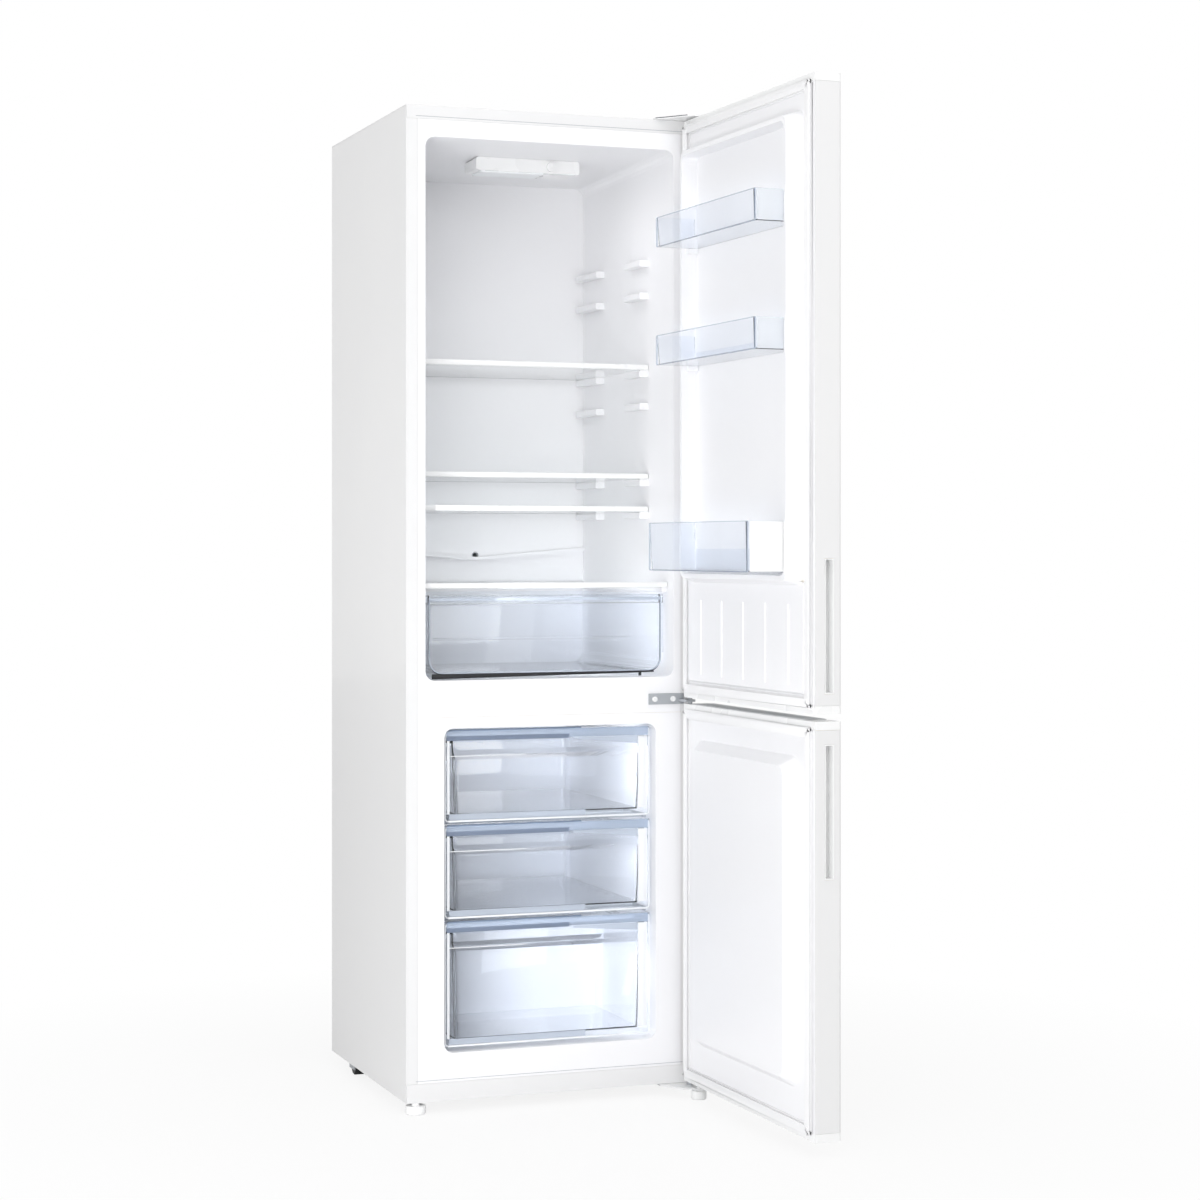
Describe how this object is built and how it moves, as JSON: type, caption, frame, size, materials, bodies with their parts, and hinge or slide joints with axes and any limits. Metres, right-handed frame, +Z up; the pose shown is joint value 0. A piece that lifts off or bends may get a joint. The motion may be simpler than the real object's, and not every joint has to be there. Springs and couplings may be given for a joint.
{
  "type": "bottom-freezer refrigerator",
  "caption": "Tall white two-door refrigerator with its freezer below: shelves, crisper, freezer drawers and door balconies, standing with both doors open to the right.",
  "frame": {"origin": "on the floor, under the middle of the whole as it stands with its doors open", "axes": "+Z up; the compartments open towards -Y; the doors' pins are at +X"},
  "size_m": [0.5883, 1.0954, 1.8038],
  "materials": {
    "white_steel": "satin",
    "white_plastic": "satin",
    "liner_plastic": "satin",
    "grey_plastic": "matte",
    "foam": "matte",
    "steel": "satin",
    "black_enamel": "satin",
    "seal_rubber": "matte",
    "black_plastic": "matte",
    "bare_aluminium": "satin",
    "clear_plastic": "gloss",
    "shelf_glass": "gloss"
  },
  "bodies": {
    "cabinet": {"side_panel_left": "white_steel", "side_panel_right": "white_steel", "top_panel": "white_steel", "back_panel": "grey_plastic", "base_pan": "white_steel", "fridge_liner": "liner_plastic", "freezer_liner": "liner_plastic", "cabinet_insulation": "foam", "drain_tube": "grey_plastic", "compressor": "black_enamel", "compressor_rail": "steel", "evaporation_tray": "black_plastic", "condenser": "black_enamel", "evaporator_shelf_upper": "bare_aluminium", "evaporator_shelf_lower": "bare_aluminium", "lamp_housing": "white_plastic", "top_hinge_bracket": "steel", "middle_hinge_bracket": "steel", "middle_hinge_pin": "steel", "middle_hinge_screw_inner": "steel", "middle_hinge_screw_outer": "steel", "bottom_hinge_bracket": "steel", "bottom_hinge_pin": "steel", "roller_bracket_left": "steel", "roller_bracket_right": "steel"},
    "upper_door": {"upper_door_skin": "white_steel", "upper_door_liner": "liner_plastic", "upper_door_insulation": "foam", "upper_door_top_cap": "white_plastic", "upper_door_bottom_cap": "white_plastic", "upper_door_gasket": "seal_rubber", "upper_door_grip": "white_plastic"},
    "lower_door": {"lower_door_skin": "white_steel", "lower_door_liner": "liner_plastic", "lower_door_insulation": "foam", "lower_door_top_cap": "white_plastic", "lower_door_bottom_cap": "white_plastic", "lower_door_gasket": "seal_rubber", "lower_door_grip": "white_plastic"},
    "top_balcony": {"balcony_top": "clear_plastic"},
    "middle_balcony": {"balcony_middle": "clear_plastic"},
    "bottle_balcony": {"balcony_bottle": "clear_plastic"},
    "top_shelf": {"shelf_glass_top": "shelf_glass", "shelf_trim_top": "white_plastic"},
    "middle_shelf": {"shelf_glass_middle": "shelf_glass", "shelf_trim_middle": "white_plastic"},
    "low_shelf": {"shelf_glass_low": "shelf_glass", "shelf_trim_low": "white_plastic"},
    "crisper_cover": {"crisper_cover_glass": "shelf_glass", "crisper_cover_trim": "white_plastic"},
    "crisper": {"crisper_drawer": "clear_plastic"},
    "top_freezer_drawer": {"freezer_drawer_top": "clear_plastic"},
    "middle_freezer_drawer": {"freezer_drawer_middle": "clear_plastic"},
    "bottom_freezer_drawer": {"freezer_drawer_bottom": "clear_plastic"},
    "thermostat": {"thermostat_knob": "white_plastic"},
    "left_foot": {"foot_left": "white_plastic"},
    "right_foot": {"foot_right": "white_plastic"},
    "left_roller": {"roller_left": "black_plastic"},
    "right_roller": {"roller_right": "black_plastic"}
  },
  "joints": [
    {"name": "upper_door_swing", "type": "hinge", "parent": "cabinet", "child": "upper_door", "pos_m": [0.24582, -0.01062, 0.734], "axis": [0, 0, 1], "range_deg": [-91, 24]},
    {"name": "lower_door_swing", "type": "hinge", "parent": "cabinet", "child": "lower_door", "pos_m": [0.24582, -0.01062, 0.026], "axis": [0, 0, 1], "range_deg": [-91, 24]},
    {"name": "top_balcony_lift", "type": "slide", "parent": "upper_door", "child": "top_balcony", "axis": [0, 0, 1], "range_m": [0, 0.02]},
    {"name": "middle_balcony_lift", "type": "slide", "parent": "upper_door", "child": "middle_balcony", "axis": [0, 0, 1], "range_m": [0, 0.02]},
    {"name": "bottle_balcony_lift", "type": "slide", "parent": "upper_door", "child": "bottle_balcony", "axis": [0, 0, 1], "range_m": [0, 0.02]},
    {"name": "top_shelf_slide", "type": "slide", "parent": "cabinet", "child": "top_shelf", "axis": [0, -1, 0], "range_m": [0, 0.12]},
    {"name": "middle_shelf_slide", "type": "slide", "parent": "cabinet", "child": "middle_shelf", "axis": [0, -1, 0], "range_m": [0, 0.12]},
    {"name": "low_shelf_slide", "type": "slide", "parent": "cabinet", "child": "low_shelf", "axis": [0, -1, 0], "range_m": [0, 0.12]},
    {"name": "crisper_cover_slide", "type": "slide", "parent": "cabinet", "child": "crisper_cover", "axis": [0, -1, 0], "range_m": [0, 0.12]},
    {"name": "crisper_slide", "type": "slide", "parent": "cabinet", "child": "crisper", "axis": [0, -1, 0], "range_m": [0, 0.3]},
    {"name": "top_freezer_drawer_slide", "type": "slide", "parent": "cabinet", "child": "top_freezer_drawer", "axis": [0, -1, 0], "range_m": [0, 0.3]},
    {"name": "middle_freezer_drawer_slide", "type": "slide", "parent": "cabinet", "child": "middle_freezer_drawer", "axis": [0, -1, 0], "range_m": [0, 0.3]},
    {"name": "bottom_freezer_drawer_slide", "type": "slide", "parent": "cabinet", "child": "bottom_freezer_drawer", "axis": [0, -1, 0], "range_m": [0, 0.2]},
    {"name": "thermostat_turn", "type": "hinge", "parent": "cabinet", "child": "thermostat", "pos_m": [0.03582, 0.16538, 1.7265], "axis": [0, -1, 0], "range_deg": [-150, 150]},
    {"name": "left_foot_turn", "type": "hinge", "parent": "cabinet", "child": "left_foot", "pos_m": [-0.27468, 0.01388, 0], "axis": [0, 0, 1], "continuous": true},
    {"name": "right_foot_turn", "type": "hinge", "parent": "cabinet", "child": "right_foot", "pos_m": [0.24682, -0.04962, 0], "axis": [0, 0, 1], "continuous": true},
    {"name": "left_roller_spin", "type": "hinge", "parent": "cabinet", "child": "left_roller", "pos_m": [-0.27918, 0.38238, 0.018], "axis": [1, 0, 0], "continuous": true},
    {"name": "right_roller_spin", "type": "hinge", "parent": "cabinet", "child": "right_roller", "pos_m": [0.24082, 0.38238, 0.018], "axis": [1, 0, 0], "continuous": true}
  ]
}
